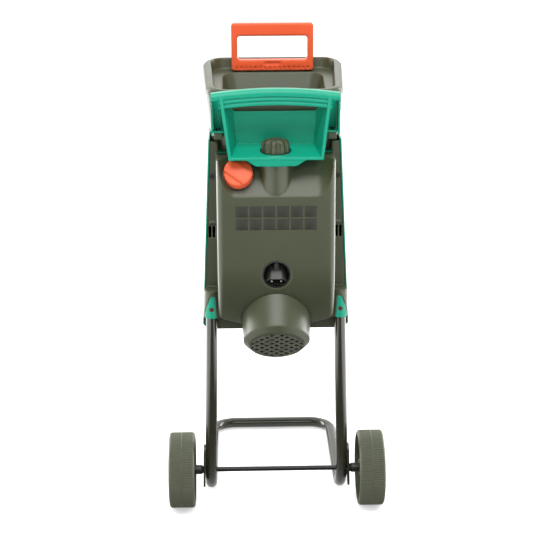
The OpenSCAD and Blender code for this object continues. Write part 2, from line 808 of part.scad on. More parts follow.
module cutter_disc() color("#8f9294") on_motor_axis(disc_s) difference() {
    cylinder(d = disc_d, h = disc_t);
    translate([0, 0, -1]) cylinder(r = shaft_r + seat_gap, h = 40);
    for (i = [0, 1]) rotate(i * 180) {
        translate([knife_mid_r - knife_len / 2, knife_edge_y - 4, -1]) cube([knife_len, chip_slot, 40]);
        knife_screw_places() cylinder(r = screw_r + seat_gap, h = 40);
    }
}

// Two flat knives on the feed side of the disc, each with one bevelled edge
module knife() difference() {
    translate([knife_mid_r - knife_len / 2, knife_edge_y - knife_w, 0]) cube([knife_len, knife_w, knife_t]);
    translate([knife_mid_r - knife_len, knife_edge_y, 0]) rotate([45, 0, 0]) cube([2 * knife_len, 20, 20]);
    knife_screw_places() cylinder(r = screw_r + seat_gap, h = 40);
}

module knives() color("#c9cccf") on_motor_axis(disc_s + disc_t + seat_gap)
    for (i = [0, 1]) rotate(i * 180) knife();

module knife_screws() color("#3b3d3f") on_motor_axis(disc_s + disc_t + knife_t + 2 * seat_gap)
    for (i = [0, 1]) rotate(i * 180) knife_screw_places() {
        translate([0, 0, 1]) cylinder(r = screw_head_r - 0.5, h = screw_head_h);
        translate([0, 0, 1 - disc_t - knife_t]) cylinder(r = screw_r, h = disc_t + knife_t + tiny);
    }

module disc_bolt() color("#3b3d3f") on_motor_axis(shaft_end_s + seat_gap) {
    translate([0, 0, -bolt_len]) cylinder(r = bolt_r, h = bolt_len + 1);
    cylinder(r = shaft_r + 6, h = 2.5);
    cylinder(r = 8, h = 7, $fn = 6);
}

// Mains inlet

inlet_wall = 3;
inlet_depth = 34;
cup_floor_t = 4;
socket_l = 36;
socket_w = 20;
socket_wall = 3.5;
socket_deep = 22;
pin_spacing = 19;
pin_r = 2.4;
pin_len = 19;
pin_root = 6;
socket_out = [0, panel_y + 7, inlet_z - 17];

// Local Z runs into the socket, square to the plug that comes from below
module on_socket() translate(socket_out) rotate([motor_slope - 90, 0, 0]) children();

module inlet_cup() color("#2a2b27") difference() {
    intersection() {
        rod_y(0, panel_y - 5, inlet_z, inlet_d / 2, inlet_depth + 5 + cup_floor_t);
        bath(0);
    }
    rod_y(0, panel_y - 20, inlet_z, inlet_d / 2 - inlet_wall, inlet_depth + 20);
}

module inlet_socket() color("#1c1d1b") difference() {
    intersection() {
        union() {
            on_socket() linear_extrude(60) stadium(socket_l + 2 * socket_wall, socket_w + 2 * socket_wall);
            rod_y(0, panel_y + inlet_depth - 4, inlet_z, inlet_d / 2, 4);
            box([-4, panel_y + 10, inlet_z + 6], [4, panel_y + inlet_depth, inlet_z + 22]);
        }
        rod_y(0, panel_y - 5, inlet_z, inlet_d / 2 - inlet_wall - seat_gap, inlet_depth + 5 - seat_gap);
    }
    on_socket() translate([0, 0, -20]) linear_extrude(20 + socket_deep) stadium(socket_l, socket_w);
    on_socket() for (s = [-1, 1]) translate([s * pin_spacing / 2, 0, 0])
        cylinder(r = pin_r + seat_gap, h = socket_deep + pin_root);
}

module inlet_pins() color("#d8dadb") on_socket() for (s = [-1, 1])
    translate([s * pin_spacing / 2, 0, socket_deep - pin_len]) {
        cylinder(r = pin_r, h = pin_len + pin_root - seat_gap);
        sphere(pin_r);
    }

// Controls

bezel_h = 2.5;
bezel_r = switch_d / 2 + 2.5;
bar_w = 30;
bar_turn = -37;
bar_h = 4;
cap_foot = seat_gap + bezel_h + move_gap;
spindle_len = cap_foot + shell_wall + 14;
box_w = 38;
box_l = 46;
box_h = 34;

// Local Z is the switch's axis, from the given height above the shoulder
module on_switch(height) on_shoulder(-switch_x, switch_along) translate([0, 0, height]) children();

module switch_bezel() color("#23241f") on_switch(seat_gap) difference() {
    cylinder(r = bezel_r, h = bezel_h);
    translate([0, 0, -1]) cylinder(r = spindle_r + move_gap, h = 20);
}

// The cap narrows a little, and a broad bar stands across it
module switch_knob() color("#e8452a") on_switch(cap_foot) {
    difference() {
        cylinder(r1 = switch_d / 2, r2 = switch_d / 2 - 1.5, h = switch_h);
        rotate(bar_turn) for (y = [bar_w / 2, -bar_w / 2 - switch_d])
            translate([-switch_d, y, switch_h - bar_h]) cube([2 * switch_d, switch_d, 2 * bar_h]);
    }
    translate([0, 0, -spindle_len]) cylinder(r = spindle_r, h = spindle_len + tiny);
}

module switch_box() color("#1b1c1c") on_switch(-shell_wall - seat_gap) difference() {
    translate([-box_w / 2, -box_l / 2, -box_h]) cube([box_w, box_l, box_h]);
    translate([0, 0, -20]) cylinder(r = spindle_r + move_gap, h = 40);
}

module interlock_switch() color("#1b1c1c") box([58, flange_y - 26, panel_top_z - shell_wall - 22],
    [90, flange_y - 8, panel_top_z - shell_wall - seat_gap]);

module lock_insert() color("#c49a45") translate([0, lock_y, boss_top_z - insert_h]) difference() {
    cylinder(r = insert_r, h = insert_h);
    translate([0, 0, -1]) cylinder(d = lock_bolt_d + 2 * move_gap, h = insert_h + 2);
}

collar_r = lock_boss_d / 2 + 5;
collar_top_z = boss_top_z + 9;
lock_z = collar_top_z + move_gap;

module lock_bolt() color("#b9bcbe") translate([0, lock_y, boss_top_z - insert_h - 6])
    cylinder(d = lock_bolt_d, h = lock_z - boss_top_z + insert_h + 6 + knob_socket);

flute_count = 9;
flute_r = 6;
flute_lean = 9;
knob_shoulder = 12;
knob_dish_r = lock_d / 2 - 16;
knob_socket = 12;

// A domed knob with flutes around it and a shallow dish with two bars on top
module lock_knob() color("#4b4d44") translate([0, lock_y, lock_z]) difference() {
    rotate_extrude() {
        square([lock_d / 2, lock_h - knob_shoulder]);
        square([lock_d / 2 - knob_shoulder, lock_h]);
        translate([lock_d / 2 - knob_shoulder, lock_h - knob_shoulder]) circle(knob_shoulder);
    }
    translate([0, 0, -1]) cylinder(d = lock_bolt_d + 2 * seat_gap, h = knob_socket + 1 + seat_gap);
    for (i = [0 : flute_count - 1]) rotate(i * 360 / flute_count)
        translate([lock_d / 2 + flute_r / 2, 0, -1]) rotate([0, -flute_lean, 0])
            cylinder(r = flute_r, h = 2 * lock_h);
    translate([0, 0, lock_h - 1.5]) difference() {
        cylinder(r = knob_dish_r, h = lock_h);
        for (s = [-1, 1]) translate([s * 3.5, 0, 0]) cube([2.5, 12, lock_h], center = true);
    }
}

// Hopper

hopper_near_y = -5;
wing_x = rim_near_x - 12;
wing_foot_z = housing_top_z + 20;
hood_screw_x = [13 - wing_x, wing_x - 13];
hood_screw_y = [hopper_near_y - 10, hopper_near_y - 23];
rim_slope = (rim_far_z - rim_near_z) / (rim_far_y - hopper_near_y);
rim_corner_r = 30;
base_corner_r = shell_corner_r - shell_wall - 1;
base_z = deck_z + seat_gap;
base_x = shell_top_x - shell_wall - 6;
base_y = shell_top_y - shell_wall - 3;
base_near_y = flange_y + shell_wall + 5;
tier_floor = tier_depth + shell_wall;
far_share = tier_floor / (rim_far_z - base_z);
near_share = tier_floor / (rim_near_z - base_z);
flare = 3;
lip_t = 4;
lip_w = 17;
lip_roll = 13;
tier_far_y = rim_far_y - lip_t - 3;

function rim_z(y) = rim_near_z + (y - hopper_near_y) * rim_slope;
function ledge_z(y) = rim_z(y) - tier_depth;

// A four cornered plan with round corners, parallel to the sloping rim and drop below it
module rim_plan(far_x, near_x, near_y, far_y, r, drop, h)
    multmatrix([[1, 0, 0, 0], [0, 1, 0, 0], [0, rim_slope, 1, rim_z(0) - drop], [0, 0, 0, 1]])
        for (s = [-1, 1]) {
            translate([s * (far_x - r), far_y - r, 0]) cylinder(r = r, h = h);
            translate([s * (near_x - r), near_y + r, 0]) cylinder(r = r, h = h);
        }

// A level plan with round corners
module level_plan(x, y0, y1, r, z, h) translate([0, 0, z]) linear_extrude(h) round_rect(x, y0, y1, r);

throat_y0 = 2;
throat_y1 = 179;
throat_corner_r = 30;

module throat(grow, low, high) hull() {
    rim_plan(throat_top_x + grow, throat_top_x + grow, throat_y0 - grow, throat_y1 + grow, throat_corner_r,
        tier_depth, high);
    level_plan(throat_foot_x + grow, feed_y0 - grow, feed_y1 + grow, 10, low, tiny);
}

// The outside of the hopper, from its rolled side lips down to its seat on the deck
module hopper_skin() hull() {
    for (turn = [0 : 30 : 90]) {
        tuck = lip_roll * (1 - sin(turn));
        rim_plan(rim_far_x - tuck, rim_near_x - tuck, hopper_near_y, rim_far_y, rim_corner_r,
            lip_roll * (1 - cos(turn)) + tiny, tiny);
    }
    level_plan(base_x, base_near_y, base_y, base_corner_r, base_z, tiny);
}

// The hollow inside the skin, from the underside of the ledge down
module skin_hollow() hull() {
    rim_plan(rim_far_x - shell_wall - (rim_far_x - base_x) * far_share,
        rim_near_x - shell_wall - (rim_near_x - base_x) * near_share,
        hopper_near_y + shell_wall + (base_near_y - hopper_near_y) * near_share,
        rim_far_y - shell_wall - (rim_far_y - base_y) * far_share, base_corner_r, tier_floor, tiny);
    level_plan(base_x - shell_wall, base_near_y + shell_wall, base_y - shell_wall, base_corner_r - shell_wall,
        base_z - 1, tiny);
}

module tier_space() hull() {
    rim_plan(rim_far_x - lip_w, rim_near_x - lip_w, hopper_near_y + lip_t, rim_far_y - lip_t,
        rim_corner_r - lip_t, 0, 2);
    rim_plan(rim_far_x - lip_w - flare, rim_near_x - lip_w - flare, hopper_near_y + lip_t + 1, tier_far_y,
        rim_corner_r - lip_t, tier_depth, tiny);
}

plunger_y = 192;
blade_t = 6;
blade_w = 140;
blade_len = 118;
pocket_x = blade_w / 2 + 3;
pocket_half = blade_t / 2 + 2;
pocket_y0 = plunger_y - pocket_half - shell_wall;

lug_h = 14;

// Lugs on the sloping near wall, under the hood's wings, for the hood's screws
module hood_lugs() both_sides() box([wing_x - 22, hopper_near_y - 29, wing_foot_z - lug_h],
    [wing_x - 5, base_near_y + 12, wing_foot_z - seat_gap]);

// Upright bores for the hood's screws
module hood_screw_bores() for (x = hood_screw_x, y = hood_screw_y)
    translate([x, y, wing_foot_z - lug_h - 1]) cylinder(r = screw_r + seat_gap, h = 2 * lug_h);

module hopper() color("#45473f") difference() {
    union() {
        difference() {
            hopper_skin();
            skin_hollow();
            tier_space();
        }
        throat(shell_wall, base_z, tiny);
        box([-pocket_x - shell_wall, pocket_y0, base_z + 3],
            [pocket_x + shell_wall, plunger_y + pocket_half + shell_wall, ledge_z(pocket_y0) - tiny]);
        hood_lugs();
        both_sides() {
            translate([peg_x, peg_y, deck_z - peg_h]) cylinder(r = peg_r, h = peg_h + 2);
            box([peg_x - 10, peg_y - 10, base_z], [peg_x + 10, base_y - 1, base_z + 4]);
        }
    }
    throat(0, base_z - 1, 1);
    box([-pocket_x, plunger_y - pocket_half, base_z + 6], [pocket_x, plunger_y + pocket_half, 950]);
    hood_screw_bores();
}

// Handle hood

hood_back_y = hopper_near_y - seat_gap;
tray_back_y = hood_back_y - 4.5;
grip_back_y = tray_back_y - 27;
grip_front_y = grip_back_y - grip_depth;
tray_floor_slope = 11;
tray_front_y = grip_front_y - 20;
tray_front_z = deck_z + 4;
tray_back_z = tray_front_z + (tray_back_y - tray_front_y) * tan(tray_floor_slope);
tray_wall_top_z = 848;
hood_wall = 3.5;

tray_taper_top = 24;
tray_taper_foot = 12;
tray_front_top_z = grip_top_z - 14;

// The tray as one solid, wider at its mouth than at its back: grown for its outside, raised for its hollow
module tray_solid(grow, reach, up) {
    mouth_x = tray_top_x + grow;
    foot_x = tray_foot_x + grow;
    back_x = mouth_x - tray_taper_top;
    back_foot_x = foot_x - tray_taper_foot;
    back_y = tray_back_y + grow;
    polyhedron(
        points = [
            [-mouth_x, grip_front_y - reach, tray_front_top_z + up],
            [mouth_x, grip_front_y - reach, tray_front_top_z + up],
            [foot_x, tray_front_y - reach, tray_front_z - grow],
            [-foot_x, tray_front_y - reach, tray_front_z - grow],
            [-back_x, back_y, tray_wall_top_z + up],
            [back_x, back_y, tray_wall_top_z + up],
            [back_foot_x, back_y, tray_back_z - grow],
            [-back_foot_x, back_y, tray_back_z - grow]],
        faces = [
            [0, 1, 2, 3], [7, 6, 5, 4], [4, 5, 1, 0], [3, 2, 6, 7],
            [1, 5, 6], [1, 6, 2], [0, 3, 7], [0, 7, 4]]);
}

grip_arch_r = (wing_x * wing_x + grip_rise * grip_rise) / (2 * grip_rise);
grip_edge_r = 9;
groove_d = 2;

// Section of the grip: Y to the right, height above the arch's foot
module grip_section() difference() {
    union() {
        square([grip_depth, grip_height - grip_edge_r]);
        translate([grip_edge_r, 0]) square([grip_depth - 2 * grip_edge_r, grip_height]);
        for (y = [grip_edge_r, grip_depth - grip_edge_r])
            translate([y, grip_height - grip_edge_r]) circle(grip_edge_r);
    }
    for (z = [7, 15]) translate([0, z]) circle(groove_d, $fn = 24);
}

// The grip swept along its shallow arch
module grip() intersection() {
    translate([0, grip_front_y, grip_top_z - grip_arch_r]) rotate([90, 0, 0]) mirror([0, 0, 1])
        rotate(90 - grip_half_sweep) rotate_extrude(angle = 2 * grip_half_sweep, $fn = 256)
            translate([grip_arch_r - grip_height, 0]) rotate(-90) mirror([1, 0, 0]) grip_section();
    box([-wing_x, -through, 0], [wing_x, through, 2 * through]);
}

grip_half_sweep = asin(wing_x / grip_arch_r) + 0.6;
grip_end_h = 16;

// The space under the thinner ends of the grip, between the tray's sides and the wings
module grip_end_gaps() intersection() {
    rod_y(0, grip_front_y - 1, grip_top_z - grip_arch_r, grip_arch_r - grip_end_h, grip_depth + 2);
    both_sides() box([tray_top_x + hood_wall, -through, wing_foot_z + hood_wall],
        [wing_x - hood_wall, through, grip_top_z]);
}

curtain_t = 3;
curtain_drop = 12;
curtain_in_x = 36;
curtain_out_x = 62;
curtain_step = 2;

function curtain_share(x) = min(max((curtain_out_x - abs(x)) / (curtain_out_x - curtain_in_x), 0), 1);
function curtain_z(x) = tray_front_z - hood_wall - curtain_drop * (1 - cos(180 * curtain_share(x))) / 2;

// The lip under the tray's front edge, which hangs lower in the middle
module curtain() slab_y(tray_front_y + 0.5, curtain_t) polygon(concat(
    [for (x = [-curtain_out_x : curtain_step : curtain_out_x]) [x, curtain_z(x)]],
    [[curtain_out_x, tray_front_z - 1], [-curtain_out_x, tray_front_z - 1]]));

// The round seat of the lock knob, with a skirt around the front of the boss
module collar() {
    translate([0, lock_y, boss_top_z + move_gap])
        cylinder(r = collar_r, h = collar_top_z - boss_top_z - move_gap);
    intersection() {
        translate([0, lock_y, boss_top_z - curtain_drop]) difference() {
            cylinder(r = collar_r, h = curtain_drop + 1);
            translate([0, 0, -1]) cylinder(r = lock_boss_d / 2 + 1.5, h = 100);
        }
        box([-collar_r, tray_front_y, 0], [collar_r, lock_y - 8, 2 * through]);
    }
}

slot_x = tray_top_x - 26;

module handle_hood() color("#1f9a82") difference() {
    union() {
        difference() {
            tray_solid(hood_wall, 0, 0);
            tray_solid(0, 10, 10);
            box([-slot_x, tray_back_y - 20, tray_wall_top_z], [slot_x, 100, 900]);
        }
        difference() {
            grip();
            grip_end_gaps();
        }
        curtain();
        both_sides() {
            box([wing_x - hood_wall, grip_front_y + 8, wing_foot_z], [wing_x, hood_back_y, grip_top_z - 24]);
            box([tray_top_x - 16, grip_back_y, wing_foot_z], [wing_x, hood_back_y, wing_foot_z + hood_wall]);
        }
        collar();
    }
    translate([0, lock_y, boss_top_z]) cylinder(d = lock_bolt_d + 2 * move_gap, h = lock_h);
    translate([0, lock_y, collar_top_z]) cylinder(r = lock_d / 2 + 3, h = lock_h + 8);
    hood_screw_bores();
}

module hood_screws() color("#1d1e1e") for (x = hood_screw_x, y = hood_screw_y)
    translate([x, y, wing_foot_z + hood_wall + seat_gap + screw_head_h]) rotate([-90, 0, 0]) screw_y(lug_h);

// Plunger

plunger_z = ledge_z(plunger_y + plunger_depth / 2) + seat_gap + tiny;
low_bar_h = 22;
handle_edge_r = 6;

module plunger_outline() translate([0, plunger_z]) difference() {
    round_rect(plunger_w / 2, 0, plunger_h, handle_edge_r);
    round_rect(plunger_w / 2 - post_w, low_bar_h, plunger_h - top_bar_h, handle_edge_r);
}

rib_count = 16;
rib_pitch = (plunger_w - 12) / rib_count;
rib_z = 5.5;
catch_w = 36;
catch_h = 8;
blade_grip = 12;

module plunger_handle() color("#e8452a") difference() {
    slab_y(plunger_y - plunger_depth / 2, plunger_depth) plunger_outline();
    for (i = [0 : rib_count - 1])
        translate([(i - (rib_count - 1) / 2) * rib_pitch, plunger_y - plunger_depth / 2, plunger_z + rib_z])
            cube([0.6 * rib_pitch, 4, 5], center = true);
    translate([0, plunger_y - plunger_depth / 2, plunger_z + low_bar_h - catch_h])
        cube([catch_w, 3, catch_h], center = true);
    box([-blade_w / 2 - seat_gap, plunger_y - blade_t / 2 - seat_gap, plunger_z - 1],
        [blade_w / 2 + seat_gap, plunger_y + blade_t / 2 + seat_gap, plunger_z + blade_grip + seat_gap]);
}

module plunger_blade() color("#45473f") box([-blade_w / 2, plunger_y - blade_t / 2, plunger_z - blade_len],
    [blade_w / 2, plunger_y + blade_t / 2, plunger_z + blade_grip]);

placed() stand_frame();
placed() axle();
placed() axle_plates();
placed() axle_spacers();
placed() left_wheel();
placed() right_wheel();
placed() axle_washers();
placed() hub_caps();
placed() rear_cover();
placed() front_shell();
placed() left_cuff();
placed() right_cuff();
placed() leg_screws();
placed() shell_screws();
placed() motor_cover();
placed() motor_grille();
placed() motor_frame();
placed() motor_stator();
placed() end_bracket();
placed() lower_bearing();
placed() upper_bearing();
placed() motor_screws();
placed() motor_shaft();
placed() armature();
placed() commutator();
placed() cooling_fan();
placed() brush_holders();
placed() cutting_chamber();
placed() discharge_chute();
placed() cutter_disc();
placed() knives();
placed() knife_screws();
placed() disc_bolt();
placed() inlet_cup();
placed() inlet_socket();
placed() inlet_pins();
placed() switch_bezel();
placed() switch_box();
placed() switch_knob();
placed() interlock_switch();
placed() lock_insert();
placed() lock_bolt();
placed() lock_knob();
placed() hopper();
placed() handle_hood();
placed() hood_screws();
placed() plunger_handle();
placed() plunger_blade();
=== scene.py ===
import json
import math

import bmesh
import bpy
from mathutils import Matrix, Vector


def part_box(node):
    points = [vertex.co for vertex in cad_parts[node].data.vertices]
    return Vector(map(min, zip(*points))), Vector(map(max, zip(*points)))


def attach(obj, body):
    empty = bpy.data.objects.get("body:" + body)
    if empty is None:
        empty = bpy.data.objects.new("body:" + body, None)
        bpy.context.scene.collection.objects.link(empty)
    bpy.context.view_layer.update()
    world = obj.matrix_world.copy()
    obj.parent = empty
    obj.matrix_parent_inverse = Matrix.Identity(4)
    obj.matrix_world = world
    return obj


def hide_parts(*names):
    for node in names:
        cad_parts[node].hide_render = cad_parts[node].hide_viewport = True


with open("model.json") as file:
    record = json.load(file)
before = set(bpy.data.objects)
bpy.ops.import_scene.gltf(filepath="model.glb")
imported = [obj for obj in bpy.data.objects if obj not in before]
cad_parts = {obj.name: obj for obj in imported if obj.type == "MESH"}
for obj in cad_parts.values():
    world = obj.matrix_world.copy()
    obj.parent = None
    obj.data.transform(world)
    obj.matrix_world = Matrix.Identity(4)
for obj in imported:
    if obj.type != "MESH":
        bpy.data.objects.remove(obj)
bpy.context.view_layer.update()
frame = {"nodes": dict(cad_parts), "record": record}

nodes = frame["nodes"]
scene = bpy.context.scene
scene.view_settings.view_transform = "Standard"
print("frame loaded:", len(nodes), "nodes")


def srgb(red, green, blue):  # 0 to 255 values as linear colour
    parts = [c / 255 for c in (red, green, blue)]
    return [c / 12.92 if c < 0.04045 else ((c + 0.055) / 1.055) ** 2.4 for c in parts] + [1.0]


# node trees

white = (1.0, 1.0, 1.0, 1.0)
noiseMiddle = 0.5
edgeBend = (0.02, 0.2)  # bend of the normal where an edge starts and is full


def join(tree, slot, value):
    if isinstance(value, Wire):
        tree.links.new(value.socket, slot)
    else:
        slot.default_value = value


class Wire:  # a socket that can stand in a sum
    def __init__(self, tree, socket):
        self.tree = tree
        self.socket = socket

    def work(self, operation, first, second):
        node = self.tree.nodes.new("ShaderNodeMath")
        node.operation = operation
        join(self.tree, node.inputs[0], first)
        join(self.tree, node.inputs[1], second)
        return Wire(self.tree, node.outputs[0])

    def __add__(self, other):
        return self.work("ADD", self, other)

    def __radd__(self, other):
        return self.work("ADD", other, self)

    def __sub__(self, other):
        return self.work("SUBTRACT", self, other)

    def __rsub__(self, other):
        return self.work("SUBTRACT", other, self)

    def __mul__(self, other):
        return self.work("MULTIPLY", self, other)

    def __rmul__(self, other):
        return self.work("MULTIPLY", other, self)

    def larger(self, other):
        return self.work("MAXIMUM", self, other)

    def unsigned(self):
        return self.work("ABSOLUTE", self, 0.0)

    def spread(self, amount):  # noise as much below zero as above
        return (self - noiseMiddle) * amount


class Tree:  # a node tree with one way to add any node
    def __init__(self, tree):
        self.tree = tree
        self.tree.nodes.clear()

    def add(self, kind, settings, sockets, out=0):
        node = self.tree.nodes.new("ShaderNode" + kind)
        for key, value in settings.items():
            setattr(node, key, value)
        for key, value in sockets.items():
            join(self.tree, node.inputs[key], value)
        return Wire(self.tree, node.outputs[out]) if node.outputs else None

    def place(self, kind="Object"):  # the piece's own coordinates
        return self.add("TexCoord", {}, {}, kind)

    def along(self, where, axis):
        return self.add("SeparateXYZ", {}, {"Vector": where}, axis)

    def ray(self, kind):  # 1 for rays of that kind
        return self.add("LightPath", {}, {}, kind)

    def noise(self, where, scale, detail=2.0):
        return self.add("TexNoise", {}, {"Vector": where, "Scale": scale, "Detail": detail})

    def blend(self, share, first, second):  # two colours
        return self.add("Mix", {"data_type": "RGBA"}, {0: share, 6: first, 7: second}, 2)

    def rise(self, value, span, levels):  # a soft step from one level to another
        return self.add("MapRange", {"interpolation_type": "SMOOTHSTEP"}, {
            "Value": value, "From Min": span[0], "From Max": span[1],
            "To Min": levels[0], "To Max": levels[1]})

    def edges(self, rounded):  # 0 on flat faces, more along edges, the mask for the painted edge highlight
        plain = self.add("NewGeometry", {}, {}, "Normal")
        same = self.add("VectorMath", {"operation": "DOT_PRODUCT"}, {0: rounded, 1: plain}, "Value")
        return self.add("MapRange", {}, {
            "Value": 1 - same, "From Min": edgeBend[0], "From Max": edgeBend[1]})

    def glow(self, strength):
        return self.add("Emission", {}, {"Color": white, "Strength": strength})


def newFinish(name):
    material = bpy.data.materials.new(name)
    material.use_nodes = True
    return material, Tree(material.node_tree)


def showSurface(tree, fixed, sockets):  # constants go straight on the shader
    shader = tree.add("BsdfPrincipled", {}, {**fixed, **sockets})
    tree.add("OutputMaterial", {}, {"Surface": shader})


# moulded plastics

# each look's edge colour is a painted highlight laid along rounded edges
plasticLooks = {
    "greyPlastic": {"colour": srgb(68, 73, 51), "shade": srgb(60, 65, 44), "edge": srgb(92, 96, 73),
                    "rough": 0.4, "gloss": 0.46, "grain": 900, "depth": 0.00008, "radius": 0.005},
    "greenPlastic": {"colour": srgb(8, 160, 129), "shade": srgb(5, 150, 120), "edge": srgb(36, 176, 145),
                     "rough": 0.34, "gloss": 0.3, "grain": 1100, "depth": 0.00005, "radius": 0.0025},
    "redPlastic": {"colour": srgb(248, 104, 62), "shade": srgb(238, 92, 52), "edge": srgb(252, 134, 92),
                   "rough": 0.32, "gloss": 0.2, "grain": 1100, "depth": 0.00004, "radius": 0.008},
    # tile tone is partly the tiles' own dark colour and partly painted shade of a recess
    "panelTileWithPaintedShade": {"colour": srgb(40, 42, 30), "shade": srgb(33, 35, 24), "edge": srgb(70, 73, 58),
                  "rough": 0.5, "gloss": 0.4, "grain": 600, "depth": 0.0002, "radius": 0.0008},
    "darkPlastic": {"colour": srgb(36, 37, 31), "shade": srgb(28, 29, 24), "edge": srgb(58, 59, 52),
                    "rough": 0.42, "gloss": 0.5, "grain": 900, "depth": 0.00008, "radius": 0.001},
    "wheelPlastic": {"colour": srgb(90, 94, 75), "shade": srgb(78, 82, 64), "edge": srgb(108, 112, 94),
                     "rough": 0.5, "gloss": 0.4, "grain": 700, "depth": 0.00012, "radius": 0.001},
}
plasticTexture = {"cloud": 7.0, "cloudDetail": 3.0, "grainDetail": 1.0, "bevelSamples": 6, "edgeHighlightShare": 0.45,
                  "bump": 0.35, "cloudRough": 0.14, "grainRough": 0.1}


def mouldedPlastic(name, look):
    texture = plasticTexture
    material, tree = newFinish(name)
    where = tree.place()
    cloud = tree.noise(where, texture["cloud"], texture["cloudDetail"])
    grain = tree.noise(where, look["grain"], texture["grainDetail"])
    rounded = tree.add("Bevel", {"samples": texture["bevelSamples"]}, {"Radius": look["radius"]})
    body = tree.blend(cloud, look["shade"], look["colour"])
    # rounded edges are painted lighter as a painted highlight
    paint = tree.blend(tree.edges(rounded) * texture["edgeHighlightShare"], body, look["edge"])
    shape = tree.add("Bump", {}, {
        "Strength": texture["bump"], "Distance": look["depth"], "Height": grain, "Normal": rounded})
    rough = look["rough"] + cloud.spread(texture["cloudRough"]) + grain.spread(texture["grainRough"])
    showSurface(tree, {"Specular IOR Level": look["gloss"]}, {
        "Base Color": paint, "Roughness": rough, "Normal": shape})
    return material


# coated and bare metals

metalLooks = {
    "blackTube": {"colour": srgb(48, 47, 36), "shade": srgb(40, 39, 29), "rough": 0.1, "metal": 0.0,
                  "scale": (260, 260, 260), "depth": 0.00003, "radius": 0.0006},
    "brightSteel": {"colour": srgb(188, 190, 190), "shade": srgb(158, 160, 161), "rough": 0.3, "metal": 1.0,
                    "scale": (60, 900, 900), "depth": 0.00003, "radius": 0.0004},
    "darkSteel": {"colour": srgb(58, 58, 58), "shade": srgb(42, 42, 43), "rough": 0.42, "metal": 0.9,
                  "scale": (400, 400, 400), "depth": 0.00003, "radius": 0.0004},
    "redScrew": {"colour": srgb(112, 46, 38), "shade": srgb(88, 36, 30), "rough": 0.4, "metal": 0.4,
                 "scale": (400, 400, 400), "depth": 0.00003, "radius": 0.0004},
    "castAlloy": {"colour": srgb(166, 168, 168), "shade": srgb(138, 140, 141), "rough": 0.48, "metal": 0.95,
                  "scale": (330, 330, 330), "depth": 0.00016, "radius": 0.001},
    "copperParts": {"colour": srgb(196, 128, 72), "shade": srgb(158, 98, 56), "rough": 0.36, "metal": 1.0,
                    "scale": (120, 700, 700), "depth": 0.00004, "radius": 0.0005},
    "ironStack": {"colour": srgb(96, 84, 74), "shade": srgb(70, 62, 56), "rough": 0.55, "metal": 0.8,
                  "scale": (40, 1200, 1200), "depth": 0.00012, "radius": 0.0006},
}
metalTexture = {"cloud": 16.0, "streak": 1.0, "detail": 3.0, "bevelSamples": 4, "bump": 0.4,
                "streakRough": 0.16, "cloudRough": 0.1}


def metalFinish(name, look):
    texture = metalTexture
    material, tree = newFinish(name)
    where = tree.place()
    drawn = tree.add("Mapping", {}, {"Vector": where, "Scale": look["scale"]})
    streak = tree.noise(drawn, texture["streak"], texture["detail"])
    cloud = tree.noise(where, texture["cloud"], texture["detail"])
    rounded = tree.add("Bevel", {"samples": texture["bevelSamples"]}, {"Radius": look["radius"]})
    shape = tree.add("Bump", {}, {
        "Strength": texture["bump"], "Distance": look["depth"], "Height": streak, "Normal": rounded})
    paint = tree.blend(cloud, look["shade"], look["colour"])
    rough = look["rough"] + streak.spread(texture["streakRough"]) + cloud.spread(texture["cloudRough"])
    showSurface(tree, {"Metallic": look["metal"]}, {"Base Color": paint, "Roughness": rough, "Normal": shape})
    return material


# finishes on the CAD nodes

finishes = {name: mouldedPlastic(name, look) for name, look in plasticLooks.items()}
finishes.update({name: metalFinish(name, look) for name, look in metalLooks.items()})
slotFinish = {"black_tube": "blackTube", "green_plastic": "greenPlastic", "grey_plastic": "greyPlastic",
              "dark_plastic": "darkPlastic", "red_plastic": "redPlastic", "wheel_plastic": "wheelPlastic",
              "bright_steel": "brightSteel", "dark_steel": "darkSteel", "cast_alloy": "castAlloy",
              "copper": "copperParts", "iron_stack": "ironStack", "red_screw": "redScrew"}
for entry in frame["record"]["subparts"]:
    mesh = nodes[entry["node"]].data
    mesh.materials.clear()
    mesh.materials.append(finishes[slotFinish[entry["material_slot"]]])
print("finishes:", len(finishes))

# pieces made here

weldDistance = 0.000005


def softenEdges(bm, width):
    bmesh.ops.bevel(bm, geom=bm.edges[:], offset=width, affect="EDGES", segments=2, profile=0.5, material=-1)


def finishPiece(name, bm, finish, body, replaced, sharpAngle=35):
    bmesh.ops.remove_doubles(bm, verts=bm.verts[:], dist=weldDistance)
    bmesh.ops.recalc_face_normals(bm, faces=bm.faces[:])
    mesh = bpy.data.meshes.new(name)
    bm.to_mesh(mesh)
    bm.free()
    mesh.shade_smooth()
    mesh.set_sharp_from_angle(angle=math.radians(sharpAngle))
    mesh.materials.append(finishes[finish])
    piece = bpy.data.objects.new(name, mesh)
    scene.collection.objects.link(piece)
    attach(piece, body)
    if replaced:
        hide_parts(*replaced)


# wheels

wheelLook = {"rim": 0.009, "edge": 0.006, "edgeSteps": 4, "web": 0.012, "hub": 0.018, "bore": 0.0051,
             "hubLong": 0.038, "hubIn": 0.023, "ribs": 132, "ribSteps": 4, "ribDepth": 0.0014,
             "ribDrop": 0.0003, "treadMargin": 1.5, "line": 0.0012, "lineMargin": 0.9, "spokes": 6,
             "spokeThick": 0.006, "spokeWide": 0.036, "spokeSink": 0.001, "sharpAngle": 25}


